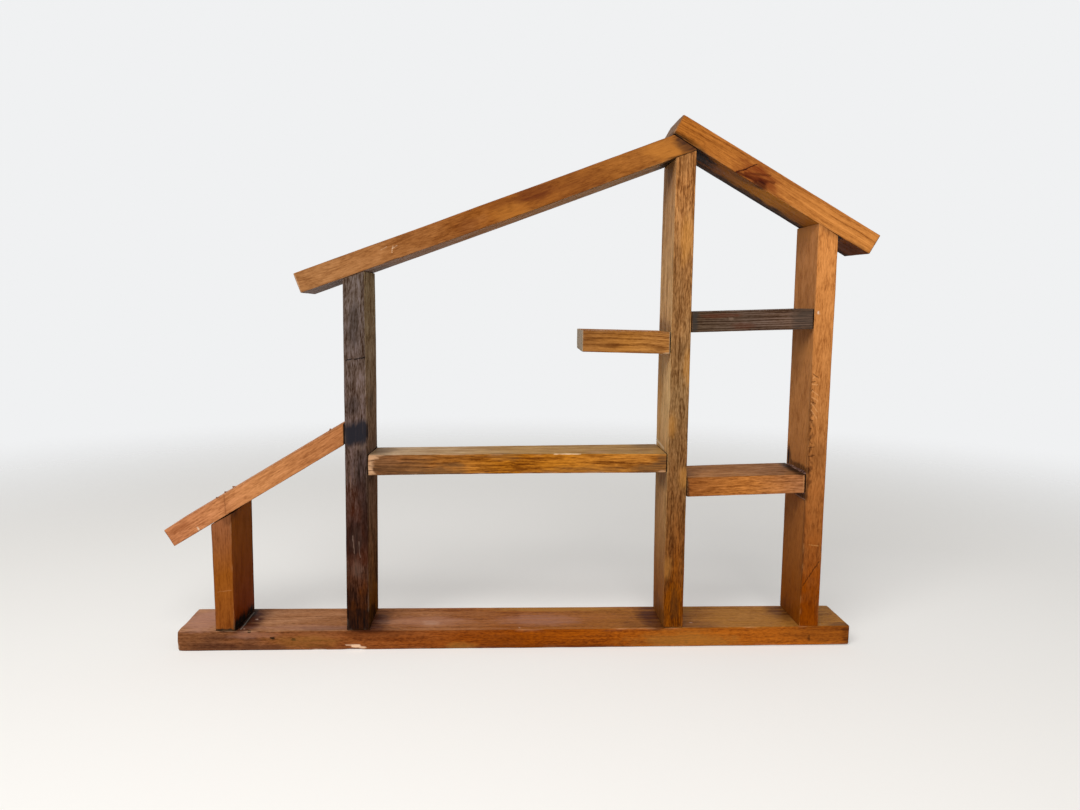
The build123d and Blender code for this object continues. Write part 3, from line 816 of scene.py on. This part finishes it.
# Weathered oak: grey-brown without gloss, with fine dark lines along the grain
worn_board(
    "upper_right_shelf", "dark_wood", "weathered_oak", seed=10,
    tones=("#4b3827", "#574335", "#644a38"), contrast=2.0, ring=(1.9, 0.34), pith=(60, 160),
    fibre=(70, 0.75, 0.5), streak=(40, 2.2, 0.1), mottle=(16, 3, 0.1), bend=2.0, grime="#1b120d", rim=0.5,
    wear=0.2, bare="#8a6e58",
    tints=[
        Tint("red_stain", "#5c2c18", [
            Mark((26, 0, 14), (16, 6, 2), 0.5), Mark((45, 0, 5), (10, 6, 3), 0.4)]),
        Tint("grey_stain", "#3a342f", [
            Mark((100, 0, 9), (12, 6, 12), 0.6, 1.0), Mark((0, 0, 9), (5, 6, 14), 0.8)]),
        Tint("scuff", "#a08672", [Mark((34, 0, 11), (1.6, 2, 1.1), 0.3)]),
    ],
    fit=(-0.8, -0.5),
)

# Varnished mahogany: red-brown, with short dark flecks and a silky look
worn_board(
    "lower_right_shelf", "red_brown_wood", "varnished_mahogany", seed=11, side="upper",
    tones=("#915526", "#b97233", "#9f663d"), side_tones=("#a46c3a", "#855935"), contrast=1.25,
    side_contrast=1.3, ring=(3.0, 0.08), pith=(50, 50), fibre=(12, 0.8, 0.42), streak=(150, 4.5, 0.1),
    mottle=(16, 5, 0.24), grime="#3c1c0b", rim=0.5, wear=0.2,
    tints=[
        Tint("adhesive", "#1d0f08", [
            Mark((0, 0, 4), (2.2, 6, 12), 0.8), Mark((105.4, 0, 9), (1.0, 8, 14), 0.9, 0.4),
            Mark((104, 24, 17), (7, 40, 1.5), 0.95, 1.0), Mark((2, 8, 17), (9, 12, 1.5), 0.3, 1.0)]),
    ],
    lines=[Line((103.6, 0, 1), (103.6, 0, 16), 0.5, "#c08a5a", 0.7)],
    fit=(-0.5, -0.3), warp=Warp(front_upper=(0.7, 0.5, 0.2), back_upper=(0.9, 0.9, 0.7)),
)

# Base. Varnished mahogany again, redder in the middle, pink on top from scuffs and a painted sheen, and dark
# at its left foot

worn_board(
    "base_board", "red_brown_wood", "varnished_mahogany", seed=12, side="upper",
    # The top's side tones are partly the wood's colour and partly a painted sheen, paler and pinker than the
    # front
    tones=("#7b4c2c", "#8f4301", "#ac5d16"), side_tones=("#a5734d", "#8d4e18", "#a56e2d"), contrast=1.1,
    ring=(3.6, 0.1), pith=(65, -40), fibre=(60, 0.9, 0.26), streak=(220, 4, 0.24), mottle=(44, 10, 0.2),
    fleck_share=0.36, bend=6.0, grime="#3a1d10", rim=0.45, wear=0.5, bare="#d9a67c", sheen=0.05,
    tints=[
        Tint("dark_streak", "#4a1f08", [
            Mark((305, 0, 1), (100, 6, 2.5), 0.5), Mark((593, 2, 18), (13, 6, 3), 0.7),
            Mark((601, 0, 11), (9, 6, 10), 0.85, 1.0), Mark((120, 0, 2), (9, 6, 4), 0.45, 1.0),
            Mark((584, 0, 11), (36, 6, 9), 0.55, 1.0), Mark((286, 0, 8), (22, 6, 5), 0.3, 1.0),
            Mark((172, 0, 16), (32, 6, 4), 0.6), Mark((128, 6, 18), (28, 5, 2), 0.5, 1.0)]),
        Tint("dark_foot", "#3d2018", [
            Mark((27, 0, 3), (16, 6, 6), 0.5), Mark((66, 0, 1.5), (30, 6, 4.5), 0.55),
            Mark((37, 0, 13), (14, 6, 2), 0.4), Mark((65, 0, 9), (7, 6, 3), 0.35)]),
        # Darker on the top beside the posts' feet: partly grime and partly painted shade where the posts
        # stand on it
        Tint("foot_grime_and_shade", "#451d06", [
            Mark((166, 14, 18), (15, 28, 2), 1.2, 1.2), Mark((425, 22, 18), (13, 40, 2), 0.95, 1.3),
            Mark((550, 36, 18), (12, 24, 2), 0.85, 1.3), Mark((54, 22, 18), (13, 40, 2), 1.3, 1.3),
            Mark((462, 8, 18), (20, 9, 2), 0.4, 1.0), Mark((405, 8, 18), (12, 9, 2), 0.35, 1.0)]),
        # Pink scuffs, and on the top a painted sheen
        Tint("pink_scuff_and_sheen", "#b58470", [
            Mark((318.7, 22, 18), (34, 12, 2), 0.4, 1.2), Mark((66, 0, 14.5), (18, 6, 3), 0.3, 1.0),
            Mark((110.7, 8, 18), (50, 5, 2), 0.3, 1.0), Mark((215.7, 20, 18), (36, 10, 2), 0.35, 1.2),
            Mark((16, 26, 18), (18, 26, 2), 0.6, 1.0)]),
        Tint("adhesive", "#17100d", [
            Mark((50.7, 36, 18), (6, 24, 3), 0.9, 0.4), Mark((41.7, 2, 18), (8, 3, 2), 0.7)]),
        Tint("nail_hole", "#1c0e08", [
            Mark((62.4, 0, 17.6), (1.4, 2, 1.2), 1.6, 0.4), Mark((82.4, 0, 11.2), (1.4, 1.5, 1.1), 1.6, 0.4),
            Mark((100.7, 0, 9.9), (1.4, 1.5, 1.1), 1.6, 0.4), Mark((563.7, 0, 7), (0.9, 1.5, 2.6), 0.8, 0.5),
        ]),
        Tint("raw_wood", "#eec4a0", [
            Mark((155.2, 0, 3.4), (4, 3, 1.6), 1.2, 0.4, 0.9), Mark((161.2, 0, 1.8), (3, 3, 1.0), 0.9, 0.4),
            Mark((148.2, 0, 4.2), (2.8, 3, 0.7), 0.8, 0.4), Mark((122.7, 0, 0.4), (5, 2, 0.7), 0.7, 0.4),
            Mark((0, 0, 4), (2, 4, 2.5), 0.5)]),
        Tint("scuff", "#d8b49c", [
            Mark((219.7, 17, 18), (8, 5, 2), 0.2), Mark((61.7, 27, 18), (1.2, 1.2, 1), 0.7),
            Mark((56.7, 5, 18), (1, 1, 1), 0.6), Mark((457.7, 12, 18), (1, 1, 1), 0.7),
            Mark((300.7, 4, 18), (1.2, 1.2, 1), 0.5)]),
        Tint("golden_strip", "#b07a34", [
            Mark((336, 50, 18), (60, 8, 2), 0.6), Mark((506, 20, 18), (34, 26, 2), 0.35, 1.2),
            Mark((452, 0, 5), (44, 6, 9), 0.45, 1.2), Mark((112, 0, 8), (30, 6, 5), 0.25, 1.0),
            Mark((248, 0, 2), (12, 6, 4), 0.4, 1.0), Mark((456, 46, 18), (12, 10, 2), 0.45, 1.0)]),
    ],
    # A painted highlight: the pale grey line along the adhesive bead beside the lean-to post's foot
    lines=[Line((54, 4, 18), (54, 44, 18), 0.7, "#8f8c82", 0.55)],
    chips=[
        Mark((154.7, 0, 0), (9, 3, 3), 1.5), Mark((122.7, 0, 0), (6, 2, 2), 0.7),
        Mark((0, 0, 3), (3, 3, 4), 0.8)],
    round_end=1.6,
    warp=Warp(front_under=(0, 0.15, 0.6), front_upper=(0.3, -0.5, 0.9), back_upper=(0.9, 0.3, 0.3)),
)

# Nails and adhesive films keep their CAD shape, and the beads are lumpier than there

adhesive = set_adhesive("black_adhesive", ("#120b08", "#1f130d", "#3d2a1e"))
# The brown kind's pale shades stand in for a painted highlight on the shelf beads
highlit_brown_adhesive = set_adhesive("brown_adhesive_and_highlight", ("#3f261d", "#7c5e52", "#a08478"))
steel = darkened_steel()
for node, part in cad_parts.items():
    if node.endswith(("_nails", "_glue")):
        part.data.materials.clear()
        part.data.materials.append(steel if node.endswith("_nails") else adhesive)


def bead_pieces():
    """The bead beside the lean-to post's foot, and those over and under the lower shelf's right end."""
    foot = np.array(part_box("lean_to_foot_bead")[0]) / MM
    lumpy_bead("lean_to_foot_lump", "lean_to_foot_bead", (foot[0], 0, foot[2]), (0, 0, 1), (1, 0, 0), 2.8,
               adhesive, seed=3)
    shelf = measure("lower_right_shelf")
    post_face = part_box("right_post")[0][0] / MM

    def meeting(height):
        """Where the right post's face meets the shelf at a height over its under side."""
        level = shelf.low + height
        return (post_face - level * shelf.up[0]) / shelf.along[0] * shelf.along + level * shelf.up

    lumpy_bead("over_shelf_lump", "lower_shelf_beads", meeting(shelf.thickness), -shelf.along, (0, 0, 1),
               2.6, highlit_brown_adhesive, seed=5)
    lumpy_bead("under_shelf_lump", "lower_shelf_beads", meeting(0), (0, 0, -1), -shelf.along, 4.0,
               highlit_brown_adhesive, seed=8)


bead_pieces()


# Studio

def studio():
    """A pale floor that fades into a pale surround, and a broad soft lamp, high in front, a little left."""
    half, opaque, gone = 3.0, 0.6, 1.6
    floor_mesh = bpy.data.meshes.new("studio_floor")
    floor_corners = [(-half, -half, 0), (half, -half, 0), (half, half, 0), (-half, half, 0)]
    floor_mesh.from_pydata(floor_corners, [], [(0, 1, 2, 3)])
    floor = bpy.data.objects.new("studio_floor", floor_mesh)
    bpy.context.scene.collection.objects.link(floor)

    # Matt pale paint, which the camera sees a little lighter than it is lit
    material = new_material("pale_studio_floor")
    tree = material.node_tree
    path = add(tree, "LightPath", {})
    lift = add(tree, "Math", {0: path.outputs["Is Camera Ray"], 1: 0.3}, operation="MULTIPLY")
    paint = add(tree, "BsdfPrincipled", {"Base Color": "#d6d3ce", "Roughness": 0.9, "Specular IOR Level": 0.1,
                                         "Emission Color": "#f4f3f1", "Emission Strength": lift})
    clear = add(tree, "BsdfTransparent", {})
    place = add(tree, "TexCoord", {}).outputs["Object"]
    away = add(tree, "VectorMath", {0: place}, operation="LENGTH")
    fade = add(tree, "MapRange", {"Value": away.outputs["Value"], "From Min": opaque, "From Max": gone},
               interpolation_type="SMOOTHSTEP")
    sheet = add(tree, "MixShader", {0: fade, 1: paint, 2: clear})
    add(tree, "OutputMaterial", {"Surface": sheet})
    floor_mesh.materials.append(material)

    # The surround lights the wood weakly, and the camera and shiny surfaces see it pale
    world = bpy.data.worlds.new("studio_surround")
    bpy.context.scene.world = world
    world.use_nodes = True
    tree = world.node_tree
    tree.nodes.clear()
    lights = add(tree, "Background", {"Color": "#ffffff", "Strength": 0.3})
    seen = add(tree, "Background", {"Color": "#f0f1f2", "Strength": 1.0})
    path = add(tree, "LightPath", {})
    mirror = add(tree, "Math", {0: path.outputs["Is Glossy Ray"], 1: path.outputs["Is Transmission Ray"]},
                 operation="MAXIMUM")
    either = add(tree, "Math", {0: path.outputs["Is Camera Ray"], 1: mirror}, operation="MAXIMUM")
    mixed = add(tree, "MixShader", {0: either, 1: lights, 2: seen})
    add(tree, "OutputWorld", {"Surface": mixed})

    key = bpy.data.lights.new("front_softbox", "AREA")
    key.shape = "RECTANGLE"
    key.size = 1.4
    key.size_y = 0.9
    key.energy = 26.0
    lamp = bpy.data.objects.new("front_softbox", key)
    stand = Vector((-0.35, -1.1, 1.25))
    aim = Vector((0.0, 0.0, 0.28))
    turn = (aim - stand).to_track_quat("-Z", "Y").to_matrix().to_4x4()
    lamp.matrix_world = Matrix.Translation(stand) @ turn
    bpy.context.scene.collection.objects.link(lamp)


def photo_camera():
    """The photograph's viewpoint: place, turn and focal length that lay the board edges on those there."""
    eye = Vector((-16.8, -734.2, 303.5)) * MM
    yaw, pitch, roll = np.radians([2.662, 6.759, -0.578])
    picture_width, focal_pixels = 1080, 824.2
    forward = np.array([np.sin(yaw) * np.cos(pitch), np.cos(yaw) * np.cos(pitch), -np.sin(pitch)])
    level = np.array([np.cos(yaw), -np.sin(yaw), 0.0])
    down = np.cross(forward, level)
    right = np.cos(roll) * level + np.sin(roll) * down
    turned_down = np.cos(roll) * down - np.sin(roll) * level
    view = bpy.data.cameras.new("photo_camera")
    view.sensor_fit = "HORIZONTAL"
    view.sensor_width = 36.0
    view.lens = view.sensor_width * focal_pixels / picture_width
    camera = bpy.data.objects.new("photo_camera", view)
    turn = Matrix(np.stack([right, -turned_down, -forward], axis=1).tolist()).to_4x4()
    camera.matrix_world = Matrix.Translation(eye) @ turn
    bpy.context.scene.collection.objects.link(camera)
    bpy.context.scene.camera = camera


studio()
photo_camera()
bpy.context.scene.view_settings.view_transform = "Standard"
